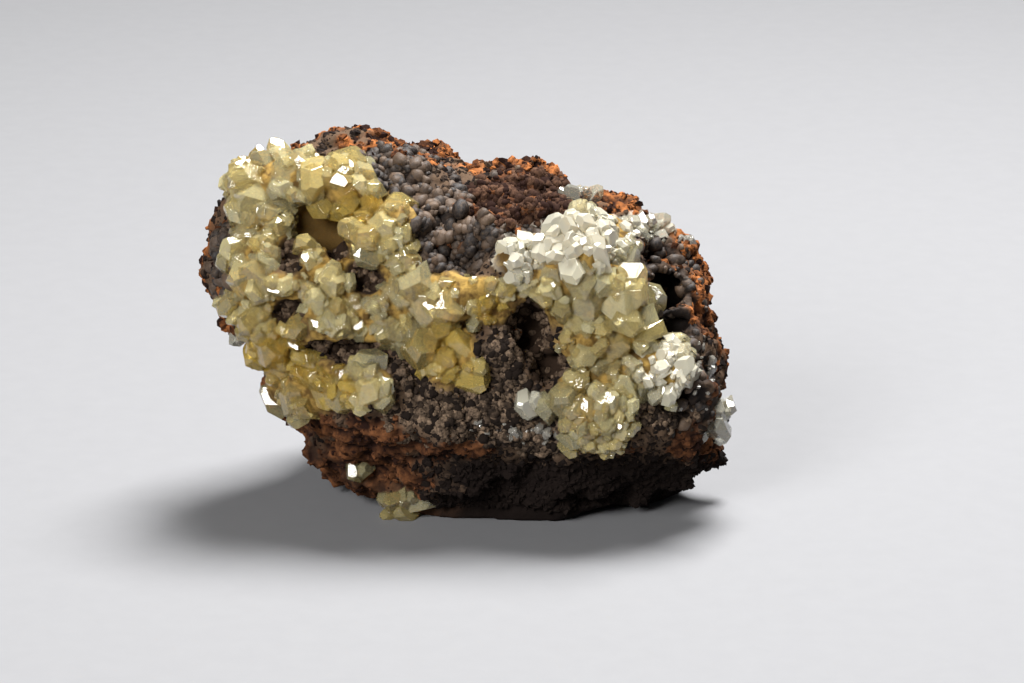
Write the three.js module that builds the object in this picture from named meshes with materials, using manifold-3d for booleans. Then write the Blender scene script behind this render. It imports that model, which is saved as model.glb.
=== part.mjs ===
// Adamite specimen: honey-yellow crystals grown over one broken face of a lump of limonite.
// The lump is modelled square-on to its crystal face: +X right, +Y up the face, +Z out of it.
// The face group then leans the lump back, so that in the finished frame +Z is up,
// the face looks along -Y and the lump stands on its flat base. Millimetres throughout.
import * as THREE from "three";
import { ImprovedNoise } from "three/addons/math/ImprovedNoise.js";
import { mergeVertices } from "three/addons/utils/BufferGeometryUtils.js";
import Module from "manifold-3d";

const wasm = await Module();
wasm.setup();
const noise = new ImprovedNoise();

// Driving dimensions of the lump
const FACE_LEAN = THREE.MathUtils.degToRad(18);
const FRONT_DEPTH = 8.6;
const BACK_DEPTH = 13.5;
const FRONT_SQUARENESS = 2.7;
const BACK_SQUARENESS = 2.3;
const BASE_LEVEL = -13.3;
const SEAT_GAP = 0.4;
const SEAT_SMOOTHING = 0.15;
const ROCK_DETAIL = 11;
const ROCK_PROPORTIONS = new THREE.Vector3(18, 13, 11);

// Outline of the lump seen square-on to its face, anticlockwise from the right-hand end
const OUTLINE = [
  [17.8, 0.9], [17.9, 4.2], [15.2, 7.1], [8.9, 9.8], [4.5, 11.8], [0.8, 11.0], [-3.4, 13.2],
  [-6.7, 14.2], [-9.8, 13.7], [-14.2, 12.3], [-17.0, 10.6], [-19.2, 7.6], [-19.9, 4.4],
  [-18.4, 1.0], [-15.2, -2.8], [-14.7, -4.8], [-12.0, -8.0], [-10.9, -10.7], [-7.3, -12.0],
  [-3.8, -14.2], [8.5, -14.0], [10.4, -12.8], [15.6, -11.8], [17.4, -10.0], [19.7, -5.2],
  [19.3, -2.7],
].map(([x, y]) => new THREE.Vector2(x, y));

// Flat breaks across the lump: outward direction and distance from its middle
const BREAKS = [
  { facing: [0.1, 0.75, -0.65], distance: 11.4 },
  { facing: [-0.7, 0.15, -0.7], distance: 14.4 },
  { facing: [0.75, 0.05, -0.66], distance: 14.0 },
  { facing: [0.1, -0.1, -1.0], distance: 11.8 },
  { facing: [-0.35, 0.55, -0.75], distance: 12.6 },
  { facing: [0.5, 0.6, 0.62], distance: 12.2 },
  { facing: [0.86, 0.1, 0.5], distance: 16.4 },
  { facing: [-0.5, -0.72, 0.48], distance: 12.6 },
].map(({ facing, distance }) => ({ facing: new THREE.Vector3(...facing).normalize(), distance }));

// Hollows in the face: middle, half-widths and depth
const HOLLOWS = [
  { at: [-10.9, 6.9], half: [2.6, 2.0], depth: 2.4 },
  { at: [4.2, -0.3], half: [1.7, 2.2], depth: 3.2 },
  { at: [5.8, -2.9], half: [1.7, 1.3], depth: 2.4 },
  { at: [14.4, 2.8], half: [1.6, 1.7], depth: 2.2 },
  { at: [14.7, -0.2], half: [1.3, 1.3], depth: 1.8 },
  { at: [-5.6, 9.9], half: [1.4, 1.1], depth: 1.4 },
  { at: [-9.1, -1.8], half: [2.8, 0.8], depth: 1.2 },
];

// Swellings of the face, where the crust bulges out and where the lump keeps a lip
const SWELLINGS = [
  { at: [-14.5, 1.5], half: [4.0, 4.5], depth: 1.3 },
  { at: [-12.8, 11.0], half: [4.5, 2.2], depth: 1.6 },
  { at: [9.0, 4.6], half: [4.6, 3.0], depth: 1.5 },
  { at: [9.5, -6.8], half: [3.6, 2.4], depth: 1.4 },
  { at: [-2.0, 1.8], half: [5.0, 2.0], depth: 1.0 },
  { at: [-8.5, -8.0], half: [3.6, 2.6], depth: 1.2 },
];

// How fast a hollow or swelling fades towards its rim
const RELIEF_FADE = 2;

// The undercut below the lip of the face
const LIP_HEIGHT = -8.6;
const LIP_BLEND = 1.8;
const UNDERCUT = 2.4;

// Lumps all over the rock, rounded and parted by creases: width and height of each size
const LUMPS = [
  { width: 8.5, height: 2.2 },
  { width: 4.4, height: 2.6 },
  { width: 2.7, height: 1.7 },
];
const LUMP_MEAN = 0.2;

// Crystals: spacing of their roots over a patch, and their own proportions
const ROOT_SPACING = 1.95;
const CLUSTER_SPACING = 1.5;
const ROOT_JITTER = 0.45;
const ROOT_DEPTH = 1.4;
const HALF_WIDTH = [1.0, 1.65];
const STAND_OUT = [1.3, 2.4];
const TILT = 0.75;
const PRISM_ANGLE = THREE.MathUtils.degToRad(46);
const DOME_ANGLE = THREE.MathUtils.degToRad(50);
const END_DOME_ANGLE = THREE.MathUtils.degToRad(58);
const SIDE_SHARE = [0.85, 1.15];
const ROOF_RISE = [0, 0.25];
const END_RISE = [0.1, 0.6];

// Patches of crystal on the face, as ellipses: middle and half-widths
const CRUST_PATCHES = [
  { at: [-15.9, 10.2], half: [1.7, 1.9] },
  { at: [-12.4, 10.8], half: [2.9, 1.6] },
  { at: [-8.6, 9.8], half: [2.0, 2.5] },
  { at: [-6.2, 7.3], half: [2.2, 2.2] },
  { at: [-15.1, 6.2], half: [2.4, 2.9] },
  { at: [-10.9, 6.4], half: [2.9, 2.4] },
  { at: [-15.1, 1.8], half: [2.6, 2.7] },
  { at: [-10.5, 2.5], half: [3.4, 2.9] },
  { at: [-5.8, 2.9], half: [2.8, 2.8] },
  { at: [-13.5, -1.5], half: [2.3, 2.5] },
  { at: [-8.0, 0.3], half: [4.4, 1.7] },
  { at: [-11.6, -4.4], half: [3.3, 2.0] },
  { at: [-7.6, -4.4], half: [2.2, 1.6] },
  { at: [-2.2, 1.8], half: [2.9, 1.8] },
  { at: [1.4, 1.8], half: [2.9, 1.7] },
  { at: [-1.3, -2.3], half: [2.1, 2.6] },
  { at: [4.4, 4.4], half: [2.5, 2.1] },
  { at: [8.7, 5.7], half: [3.3, 2.2] },
  { at: [8.9, 1.8], half: [4.2, 2.6] },
  { at: [9.8, -1.5], half: [3.5, 2.3] },
  { at: [14.2, -3.1], half: [2.2, 2.1] },
  { at: [9.3, -4.6], half: [2.9, 2.0] },
  { at: [9.3, -7.3], half: [2.5, 1.9] },
];

// Places inside the patches where the rock shows through
const BARE_SPOTS = [
  { at: [-12.7, 5.3], half: [0.7, 0.8] },
  { at: [-13.1, 1.1], half: [0.8, 0.7] },
  { at: [-9.4, 5.5], half: [0.8, 0.7] },
  { at: [-7.5, 3.4], half: [1.0, 0.9] },
  { at: [-9.1, -1.7], half: [2.8, 0.7] },
  { at: [4.2, -0.2], half: [1.5, 2.1] },
  { at: [5.7, -2.9], half: [1.5, 1.1] },
];

// Small clusters that stand apart from the crust
// A cluster's middle and half-widths are as seen after walking round the lump by its turn
const SIDE_TURN = THREE.MathUtils.degToRad(-105);
const SMALL_CLUSTERS = [
  { name: "stray_crystal", at: [4.4, -5.9], half: [0.7, 0.7], size: 1.0, turn: 0 },
  { name: "edge_crystals", at: [18.4, -6.4], half: [1.1, 1.9], size: 0.9, turn: 0 },
  { name: "base_crystals_left", at: [-8.2, -10.8], half: [0.9, 0.8], size: 0.8, turn: 0 },
  { name: "base_crystals_middle", at: [-4.6, -12.9], half: [1.3, 0.9], size: 0.75, turn: 0 },
  { name: "top_crystals", at: [8.2, 9.5], half: [0.9, 0.7], size: 0.6, turn: 0 },
  { name: "rim_crystals", at: [12.8, 7.4], half: [1.8, 0.9], size: 0.7, turn: 0 },
  { name: "side_crystals", at: [2.6, -1.0], half: [1.0, 1.3], size: 0.85, turn: SIDE_TURN },
];

// Reach of the working shapes, all larger than the lump
const SIGHT_DISTANCE = 60;
const GRID_REACH = 22;
const BLOCK_SIZE = 80;
const SAME_POINT = 1e-4;
const SAME_PLANE = 1e-6;

const ROCK_LOOK = { color: 0x5b3a26, roughness: 0.92, metalness: 0.0 };
const ADAMITE_LOOK = { color: 0xd2c06a, roughness: 0.18, metalness: 0.0, transparent: true, opacity: 0.75 };
const PALE_LOOK = { color: 0xd9d8cc, roughness: 0.25, metalness: 0.0, transparent: true, opacity: 0.75 };
const PALE_CLUSTERS = new Set(["edge_crystals", "top_crystals", "rim_crystals", "side_crystals"]);

// Solids and geometries
function solidOf(geometry) {
  const bare = geometry.clone();
  bare.deleteAttribute("normal");
  bare.deleteAttribute("uv");
  const merged = mergeVertices(bare, SAME_POINT);
  return new wasm.Manifold(
    new wasm.Mesh({
      numProp: 3,
      vertProperties: merged.attributes.position.array,
      triVerts: new Uint32Array(merged.index.array),
    }),
  );
}

function geometryOf(solid) {
  const mesh = solid.getMesh();
  const geometry = new THREE.BufferGeometry();
  geometry.setAttribute("position", new THREE.BufferAttribute(mesh.vertProperties, 3));
  geometry.setIndex(new THREE.BufferAttribute(mesh.triVerts, 1));
  geometry.computeVertexNormals();
  return geometry;
}

function largestBody(solid) {
  const bodies = solid.decompose();
  return bodies.reduce((best, body) => (body.volume() > best.volume() ? body : best));
}

// The rock: a rounded body of the outline's shape, with hollows, swellings, an undercut and lumps
function outlineReach(angle) {
  const ray = new THREE.Vector2(Math.cos(angle), Math.sin(angle));
  for (let i = 0; i < OUTLINE.length; i++) {
    const start = OUTLINE[i];
    const side = OUTLINE[(i + 1) % OUTLINE.length].clone().sub(start);
    const turn = ray.cross(side);
    const reach = start.cross(side) / turn;
    const share = start.cross(ray) / turn;
    if (reach > 0 && share >= 0 && share <= 1) return reach;
  }
  throw new Error("the outline does not close round its middle");
}

function patchShare({ at, half }, x, y) {
  return Math.hypot((x - at[0]) / half[0], (y - at[1]) / half[1]);
}

function faceRelief(x, y) {
  const rounded = (patch) => patch.depth * Math.exp(-RELIEF_FADE * patchShare(patch, x, y) ** 2);
  const dug = HOLLOWS.reduce((sum, hollow) => sum + rounded(hollow), 0);
  const raised = SWELLINGS.reduce((sum, swelling) => sum + rounded(swelling), 0);
  const below = 1 - THREE.MathUtils.smoothstep(y, LIP_HEIGHT - LIP_BLEND, LIP_HEIGHT);
  return raised - dug - UNDERCUT * below;
}

function lumpHeight({ x, y, z }) {
  const one = ({ width, height }) =>
    height * (Math.abs(noise.noise(x / width, y / width, z / width)) - LUMP_MEAN);
  return LUMPS.reduce((sum, lump) => sum + one(lump), 0);
}

function rockPoint(direction) {
  const reach = outlineReach(Math.atan2(direction.y, direction.x));
  const isFront = direction.z > 0;
  const depth = isFront ? FRONT_DEPTH : BACK_DEPTH;
  const power = isFront ? FRONT_SQUARENESS : BACK_SQUARENESS;
  const across = Math.hypot(direction.x, direction.y) / reach;
  const rounded = (across ** power + (Math.abs(direction.z) / depth) ** power) ** (-1 / power);
  const radius = BREAKS.reduce((least, { facing, distance }) => {
    const towards = facing.dot(direction);
    return towards > 0 ? Math.min(least, distance / towards) : least;
  }, rounded);
  const point = direction.clone().multiplyScalar(radius);
  point.addScaledVector(direction, lumpHeight(point));
  const frontShare = THREE.MathUtils.smoothstep(point.z, 0, FRONT_DEPTH / 2);
  point.z += faceRelief(point.x, point.y) * frontShare;
  return point;
}

function rockGeometry() {
  const ball = new THREE.IcosahedronGeometry(1, ROCK_DETAIL);
  ball.deleteAttribute("normal");
  ball.deleteAttribute("uv");
  const geometry = mergeVertices(ball, SAME_POINT);
  const position = geometry.attributes.position;
  for (let i = 0; i < position.count; i++) {
    const direction = new THREE.Vector3().fromBufferAttribute(position, i);
    direction.multiply(ROCK_PROPORTIONS).normalize();
    position.setXYZ(i, ...rockPoint(direction).toArray());
  }
  geometry.computeVertexNormals();
  return geometry;
}

function swollen(geometry, amount) {
  const grown = geometry.clone();
  const { position, normal } = grown.attributes;
  for (let i = 0; i < position.count; i++) {
    const point = new THREE.Vector3().fromBufferAttribute(position, i);
    point.addScaledVector(new THREE.Vector3().fromBufferAttribute(normal, i), amount);
    position.setXYZ(i, ...point.toArray());
  }
  return grown;
}

// Crystals: convex solids bounded by planes, rooted where a line into the face meets the rock
function hash(i, j, k) {
  let n = Math.imul(i, 374761393) + Math.imul(j, 668265263) + Math.imul(k, 1442695041);
  n = Math.imul(n ^ (n >>> 13), 1274126177);
  return ((n ^ (n >>> 16)) >>> 0) / 4294967296;
}

function inRange([low, high], share) {
  return low + (high - low) * share;
}

function solidFromPlanes(planes) {
  const corners = [];
  for (let a = 0; a < planes.length; a++)
    for (let b = a + 1; b < planes.length; b++)
      for (let c = b + 1; c < planes.length; c++) {
        const corner = meetingPoint(planes[a], planes[b], planes[c]);
        const kept = corner && planes.every((plane) => plane.distanceToPoint(corner) < SAME_PLANE);
        if (kept) corners.push({ corner, on: [a, b, c] });
      }
  const triangles = [];
  planes.forEach((plane, index) => {
    const ring = corners.filter(({ on }) => on.includes(index)).map(({ corner }) => corner);
    if (ring.length < 3) return;
    const middle = ring.reduce((sum, p) => sum.add(p), new THREE.Vector3()).divideScalar(ring.length);
    const right = ring[0].clone().sub(middle).normalize();
    const up = plane.normal.clone().cross(right);
    const turn = (p) => Math.atan2(p.clone().sub(middle).dot(up), p.clone().sub(middle).dot(right));
    ring.sort((p, q) => turn(p) - turn(q));
    for (let i = 1; i + 1 < ring.length; i++) triangles.push(ring[0], ring[i], ring[i + 1]);
  });
  return solidOf(new THREE.BufferGeometry().setFromPoints(triangles));
}

function meetingPoint(p, q, r) {
  const across = q.normal.clone().cross(r.normal);
  const volume = p.normal.dot(across);
  if (Math.abs(volume) < SAME_POINT) return null;
  return across
    .multiplyScalar(-p.constant)
    .addScaledVector(r.normal.clone().cross(p.normal), -q.constant)
    .addScaledVector(p.normal.clone().cross(q.normal), -r.constant)
    .divideScalar(volume);
}

// One blocky prism with a roof-shaped end, growing along +Z from its root
function crystalPlanes(halfWidth, standOut, random) {
  const plane = (x, y, z, distance) => new THREE.Plane(new THREE.Vector3(x, y, z).normalize(), -distance);
  const uneven = (range, k) => halfWidth * inRange(range, random(k));
  const planes = [];
  [PRISM_ANGLE, Math.PI - PRISM_ANGLE, Math.PI + PRISM_ANGLE, -PRISM_ANGLE].forEach((angle, k) => {
    planes.push(plane(Math.cos(angle), Math.sin(angle), 0, uneven(SIDE_SHARE, 10 + k)));
  });
  [1, -1].forEach((side, k) => {
    const roof = Math.cos(DOME_ANGLE) * (standOut + uneven(ROOF_RISE, 20 + k));
    planes.push(plane(side * Math.sin(DOME_ANGLE), 0, Math.cos(DOME_ANGLE), roof));
    const end = Math.cos(END_DOME_ANGLE) * (standOut + uneven(END_RISE, 30 + k));
    planes.push(plane(0, side * Math.sin(END_DOME_ANGLE), Math.cos(END_DOME_ANGLE), end));
  });
  planes.push(plane(0, 0, -1, ROOT_DEPTH));
  return planes;
}

function footing(rock, x, y, turn) {
  const upright = new THREE.Vector3(0, 1, 0);
  const start = new THREE.Vector3(x, y, SIGHT_DISTANCE).applyAxisAngle(upright, turn);
  const inward = new THREE.Vector3(0, 0, -1).applyAxisAngle(upright, turn);
  const hit = new THREE.Raycaster(start, inward).intersectObject(rock)[0];
  return hit && { point: hit.point, normal: hit.face.normal.clone() };
}

function crystalAt(foot, size, random) {
  const halfWidth = size * inRange(HALF_WIDTH, random(1));
  const standOut = size * inRange(STAND_OUT, random(2));
  const lean = new THREE.Vector3(random(3) - 0.5, random(4) - 0.5, random(5) - 0.5);
  const axis = foot.normal.clone().addScaledVector(lean, 2 * TILT).normalize();
  const turned = new THREE.Quaternion().setFromUnitVectors(new THREE.Vector3(0, 0, 1), axis);
  const twist = new THREE.Quaternion().setFromAxisAngle(new THREE.Vector3(0, 0, 1), Math.PI * random(6));
  const place = new THREE.Matrix4().compose(foot.point, turned.multiply(twist), new THREE.Vector3(1, 1, 1));
  const planes = crystalPlanes(halfWidth, standOut, random).map((plane) => plane.applyMatrix4(place));
  return solidFromPlanes(planes);
}

// Roots lie on a jittered triangular grid, kept where a patch covers them and no bare spot does
function crystalsOver(rock, { patches, spacing, bare = [], origin = [0, 0], size = 1, turn = 0 }) {
  const rowHeight = (spacing * Math.sqrt(3)) / 2;
  const reach = Math.ceil(GRID_REACH / rowHeight);
  const crystals = [];
  for (let j = -reach; j <= reach; j++)
    for (let i = -reach; i <= reach; i++) {
      const random = (k) => hash(i, j, k);
      const x = origin[0] + spacing * (i + 0.5 * (j & 1) + ROOT_JITTER * (random(7) - 0.5));
      const y = origin[1] + rowHeight * (j + ROOT_JITTER * (random(8) - 0.5));
      const covered = patches.some((patch) => patchShare(patch, x, y) < 1);
      const open = bare.some((spot) => patchShare(spot, x, y) < 1);
      const foot = covered && !open && footing(rock, x, y, turn);
      if (foot) crystals.push(crystalAt(foot, size, random));
    }
  return wasm.Manifold.union(crystals);
}

function baseBlock() {
  const block = new THREE.BoxGeometry(BLOCK_SIZE, BLOCK_SIZE, BLOCK_SIZE);
  block.translate(0, 0, BASE_LEVEL - BLOCK_SIZE / 2);
  block.rotateX(FACE_LEAN - Math.PI / 2);
  return solidOf(block);
}

function namedMesh(name, solid, look) {
  const mesh = new THREE.Mesh(geometryOf(solid), new THREE.MeshStandardMaterial(look));
  mesh.name = name;
  return mesh;
}

const rock = rockGeometry();
const rockTarget = new THREE.Mesh(rock);
const seat = solidOf(swollen(rock, SEAT_GAP));
const below = baseBlock();
const standing = (crystals) => largestBody(crystals.subtract(seat).subtract(below).simplify(SEAT_SMOOTHING));

const face = new THREE.Group();
face.rotation.x = Math.PI / 2 - FACE_LEAN;
face.add(namedMesh("limonite_matrix", largestBody(solidOf(rock).subtract(below)), ROCK_LOOK));
const crust = crystalsOver(rockTarget, { patches: CRUST_PATCHES, spacing: ROOT_SPACING, bare: BARE_SPOTS });
face.add(namedMesh("adamite_crust", standing(crust), ADAMITE_LOOK));
for (const cluster of SMALL_CLUSTERS) {
  const look = PALE_CLUSTERS.has(cluster.name) ? PALE_LOOK : ADAMITE_LOOK;
  const spacing = CLUSTER_SPACING * cluster.size;
  const crystals = crystalsOver(rockTarget, { patches: [cluster], spacing, origin: cluster.at, ...cluster });
  face.add(namedMesh(cluster.name, standing(crystals), look));
}

// The origin is the middle of the underside of the whole specimen's box
const specimen = new THREE.Group();
specimen.add(face);
const box = new THREE.Box3().setFromObject(specimen, true);
const middle = box.getCenter(new THREE.Vector3());
face.position.set(-middle.x, -middle.y, -box.min.z);

export default specimen;
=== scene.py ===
"""Looks of the adamite specimen: a rough lump of limonite with honey-yellow crystals over its front face.

Shapes are worked out in the frame of the crystal face, in millimetres:
x to the right, y up the face and z out of it. FACE carries them into the part's own frame, in metres.
"""

import itertools
import math
from collections import namedtuple

import bmesh
import bpy
import numpy as np
from mathutils import Matrix, Quaternion, Vector, noise
from mathutils.bvhtree import BVHTree


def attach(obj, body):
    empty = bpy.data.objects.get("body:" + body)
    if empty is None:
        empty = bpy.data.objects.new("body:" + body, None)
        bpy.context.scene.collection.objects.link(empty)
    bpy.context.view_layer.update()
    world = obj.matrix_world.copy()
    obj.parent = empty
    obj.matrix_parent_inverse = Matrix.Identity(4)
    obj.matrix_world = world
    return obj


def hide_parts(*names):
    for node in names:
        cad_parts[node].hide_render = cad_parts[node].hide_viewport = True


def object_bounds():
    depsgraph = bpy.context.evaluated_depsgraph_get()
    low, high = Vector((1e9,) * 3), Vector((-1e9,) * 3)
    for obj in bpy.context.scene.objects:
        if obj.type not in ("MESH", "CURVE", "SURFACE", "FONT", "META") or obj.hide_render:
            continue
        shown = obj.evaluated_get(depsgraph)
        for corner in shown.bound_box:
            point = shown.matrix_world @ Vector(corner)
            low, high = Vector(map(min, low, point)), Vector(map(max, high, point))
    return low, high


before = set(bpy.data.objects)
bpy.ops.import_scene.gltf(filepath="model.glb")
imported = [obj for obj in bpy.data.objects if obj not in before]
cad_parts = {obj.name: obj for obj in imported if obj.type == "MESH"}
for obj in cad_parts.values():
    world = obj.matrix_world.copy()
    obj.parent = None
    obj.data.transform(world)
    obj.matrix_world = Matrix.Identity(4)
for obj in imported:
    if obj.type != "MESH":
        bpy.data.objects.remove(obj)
cad_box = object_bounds()

# The crystal face's frame: how far it leans back and where its middle lies in the part, in millimetres
MM = 0.001
FACE_LEAN = math.radians(18)
FACE_PLACE = Vector((0.246, -0.684, 13.3))
FACE_TURN = Matrix.Rotation(math.pi / 2 - FACE_LEAN, 4, "X")
FACE = Matrix.Scale(MM, 4) @ Matrix.Translation(FACE_PLACE) @ FACE_TURN
DOWN = FACE_TURN.inverted().to_3x3() @ Vector((0, 0, -1))
BASE_DEPTH = FACE_PLACE.z

# The view of the specimen: its width, the point of the face at its middle, and the viewing distance
VIEW_WIDTH = 74.5
VIEW_MIDDLE = (3.05, -1.2)
VIEW_DISTANCE = 320.0
FACE_DEPTH = 5.0
SENSOR_WIDTH = 36.0
NEAREST_SEEN = 0.01

# Patches of the face, each a middle and half-widths
CRUST_PATCHES = [
    ((-15.9, 10.2), (1.7, 1.9)), ((-12.4, 10.8), (2.9, 1.6)), ((-8.6, 9.8), (2.0, 2.5)),
    ((-6.2, 7.3), (2.2, 2.2)), ((-15.1, 6.2), (2.4, 2.9)), ((-10.9, 6.4), (2.9, 2.4)),
    ((-15.1, 1.8), (2.6, 2.7)), ((-10.5, 2.5), (3.4, 2.9)), ((-5.8, 2.9), (2.8, 2.8)),
    ((-13.5, -1.5), (2.3, 2.5)), ((-8.0, 0.3), (4.4, 1.7)), ((-11.6, -4.4), (3.3, 2.0)),
    ((-7.6, -4.4), (2.2, 1.6)), ((-2.2, 1.8), (2.9, 1.8)), ((1.4, 1.8), (2.9, 1.7)),
    ((-1.3, -2.3), (2.1, 2.6)), ((4.4, 4.4), (2.5, 2.1)), ((8.7, 5.7), (3.3, 2.2)),
    ((8.9, 1.8), (4.2, 2.6)), ((9.8, -1.5), (3.5, 2.3)), ((14.2, -3.1), (2.2, 2.1)),
    ((9.3, -4.6), (2.9, 2.0)), ((9.3, -7.3), (2.5, 1.9)),
]
BARE_SPOTS = [
    ((-13.0, 4.9), (0.9, 1.3)), ((-12.9, 1.0), (1.3, 0.9)), ((-9.5, 5.4), (0.9, 0.8)),
    ((-7.5, 3.3), (1.3, 1.2)), ((-9.1, -1.7), (3.0, 0.8)), ((4.2, -0.2), (1.5, 2.1)),
    ((5.7, -2.9), (1.5, 1.1)),
]
RECESSES = [((-10.8, 7.2), (2.4, 1.7))]
GOETHITE_PATCHES = [
    ((-5.2, 11.0), (3.2, 2.2)), ((-1.6, 7.0), (4.0, 3.4)), ((3.8, 8.4), (4.6, 2.6)),
    ((14.6, 2.6), (3.0, 5.4)), ((15.6, -5.0), (3.0, 3.0)), ((-17.4, 4.6), (1.5, 3.6)),
]
RUST_PATCHES = [
    ((-7.4, -9.6), (4.8, 3.2)), ((-11.5, -7.4), (2.0, 1.2)), ((-1.6, -9.0), (3.4, 1.0)),
    ((-1.5, 5.8), (1.0, 0.7)), ((4.6, 10.0), (1.5, 1.0)), ((16.4, -8.6), (2.4, 1.4)),
    ((-4.0, 13.2), (5.0, 1.2)), ((4.6, 11.4), (4.6, 0.9)), ((12.4, 9.0), (3.4, 1.0)),
    ((17.2, 4.4), (1.3, 4.2)),
]
BROWN_PATCHES = [((3.9, 9.3), (4.4, 2.1))]
GREY_PATCHES = [
    ((0.4, -6.4), (6.2, 2.2)), ((2.3, -3.0), (1.7, 2.6)), ((-4.6, -3.8), (1.8, 1.2)),
    ((6.0, -8.2), (3.4, 1.2)), ((13.6, -6.0), (2.4, 1.6)),
]
WHITE_PATCHES = [
    ((7.6, 5.9), (4.4, 2.3)), ((14.2, -3.2), (2.3, 2.1)), ((12.8, 7.4), (3.2, 1.2)), ((3.4, 4.4), (1.8, 1.4)),
]
AMBER_PATCHES = [
    ((-1.3, -2.6), (2.4, 2.6)), ((-13.6, -1.6), (2.6, 2.4)), ((-10.6, -4.4), (3.0, 2.0)),
    ((-9.0, 8.0), (3.6, 1.4)), ((3.0, 1.2), (3.0, 1.4)),
]
FINE_PATCHES = [
    ((-7.4, -4.6), (2.8, 2.0)), ((9.3, -7.0), (2.9, 2.3)), ((14.2, -3.2), (2.6, 2.4)),
    ((7.4, 6.4), (5.0, 1.9)), ((3.2, 4.2), (1.8, 1.5)),
]
SPECK_PATCHES = [
    ((6.0, -8.0), (3.4, 0.9)), ((15.4, -3.4), (2.2, 3.2)), ((0.5, -7.4), (2.6, 0.8)),
    ((13.4, 6.6), (3.2, 1.1)),
]
PITS = [((14.2, 2.4), 1.5), ((14.7, -0.2), 1.2), ((12.9, -5.1), 0.8), ((15.3, -5.1), 0.7), ((13.0, 5.2), 0.7)]

# The rock's fine surface: mesh size, the grain of each kind of relief and its height
ROCK_VOXEL = 0.22
LAYER_SHAPE = np.array((0.7, 1.7, 0.7))
LAYER_SIZE = 2.4
ROUGH_SIZE = 1.3
FINE_RELIEF_SIZE = 0.8
LARGE_KNOB = 1.5
SMALL_KNOB = 0.8
KNOB_REACH = 0.62
RUST_HEIGHT = 0.55
ROUGH_HEIGHT = 0.35
FINE_HEIGHT = 0.12
GOETHITE_HEIGHT = 0.4
GREY_HEIGHT = 0.3
PIT_DEPTH = 1.3
PIT_WALL = (0.55, 1.0)
BARE_STEEPNESS = 0.6
BARE_WALL = (0.5, 1.3)
RECESS_DEPTH = 1.2
CRUST_SWELL = 0.5
BASE_FADE = (0.1, 1.2)

# The edges of the rock's zones: how ragged they are, and between which values each fades in
RAGGEDNESS = 0.45
RAGGED_SIZE = 1.6
PATCH_EDGE = (0.8, 1.15)
FRONT_DEPTH = (0.0, 2.5)
FRONT_FACING = (0.15, 0.5)
CRUST_DEPTH = (0.0, 2.0)
RUST_DEPTH = (-1.0, 1.5)
WORN_SIZE = 7.0
WORN_SHARE = (-0.1, 0.3)
WORN_DEPTH = (0.0, 5.0)
RIM_RISE = (-5.0, 3.0)
LIP_DROP = (9.0, 10.5)
LIP_START = (-5.0, 0.0)

# Large crystals: the same roots and proportions as in the part's solids
ROOT_SPACING = 1.95
CLUSTER_SPACING = 1.5
ROOT_JITTER = 0.45
ROOT_DEPTH = 1.4
HALF_WIDTH = (1.0, 1.65)
STAND_OUT = (1.3, 2.4)
TILT = 0.75
PRISM_ANGLE = math.radians(46)
DOME_ANGLE = math.radians(50)
END_DOME_ANGLE = math.radians(58)
SIDE_SHARE = (0.85, 1.15)
ROOF_RISE = (0.0, 0.25)
END_RISE = (0.1, 0.6)
GRID_REACH = 22.0
SIGHT_DISTANCE = 60.0

# Finer traits of the large crystals: slimmer and flatter forms, cut corners, wear and companions
SLIMNESS = (0.75, 1.0)
FLATNESS = (0.5, 1.0)
CORNER_REACH = (1.0, 1.4)
CORNER_SLOPE = 0.1
TIP_SHARE = (0.8, 1.0)
TIP_SLOPE = 0.3
EDGE_WEAR = 0.03
FLOOR_GAP = 0.02
FINE_SIZE = 0.72
FINE_EDGE = (0.8, 1.2)
BARE_EDGE = (1.2, 2.2)
BARE_MARGIN = 0.7
WHITE_EDGE = (0.6, 1.25)
HONEY_EDGE = (0.5, 1.4)
COMPANIONS = 1
COMPANION_SIZE = (0.5, 0.85)
COMPANION_HEIGHT = (0.6, 0.95)
COMPANION_DRIFT = 0.3
COMPANION_TURN = 0.5

# Small crystals between the large ones and specks on the rock: how many, and their sizes and lean
SMALL_CRYSTALS = 850
SMALL_SIZE = (0.3, 0.8)
SMALL_TILT = 0.7
SMALL_FORMS = 16
SMALL_FORM_ROW = 91
SMALL_STAND_OUT = (1.2, 2.2)
SMALL_ROOT_DEPTH = 0.8
SMALL_BASE_WEIGHT = 0.5
OPEN_MARGIN = 0.7 * BARE_MARGIN
FROST_START = (0.35, 1.0)
CLEAR_SHARE = 0.65
SPECKS = 90
SPECK_SIZE = (0.12, 0.5)
SPECK_TILT = 0.8

# Grains of the bare rock: how many of each kind, with their smallest and largest radius
GRAINS = {
    "goethite_knobs": (800, (0.15, 0.6)),
    "hollow_knobs": (420, (0.15, 0.5)),
    "grey_grains": (1700, (0.12, 0.42)),
    "rust_crumbs": (4800, (0.08, 0.5)),
    "brown_crumbs": (3600, (0.08, 0.4)),
    "mass_grains": (650, (0.14, 0.42)),
    # Near black crumbs on the underside lip: painted shade
    "painted_shade_crumbs": (2400, (0.1, 0.5)),
    "plain_crumbs": (1600, (0.1, 0.45)),
}
GRAIN_FORMS = 8
GRAIN_TILT = 0.5
GRAIN_SINK = 0.3
LOWEST_GRAIN = 1.0
KNOB_UNEVENNESS = 0.45
KNOB_STRETCH = (0.75, 1.3)
CRUMB_CORNERS = 14
CRUMB_REACH = (0.7, 1.1)
PITTED_SIDE = (8.0, 11.0)
PITTED_THINNING = 0.85

# Seeds of the random draws
SCATTER_SEED = 11
CRUMB_SEED = 7

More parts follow.
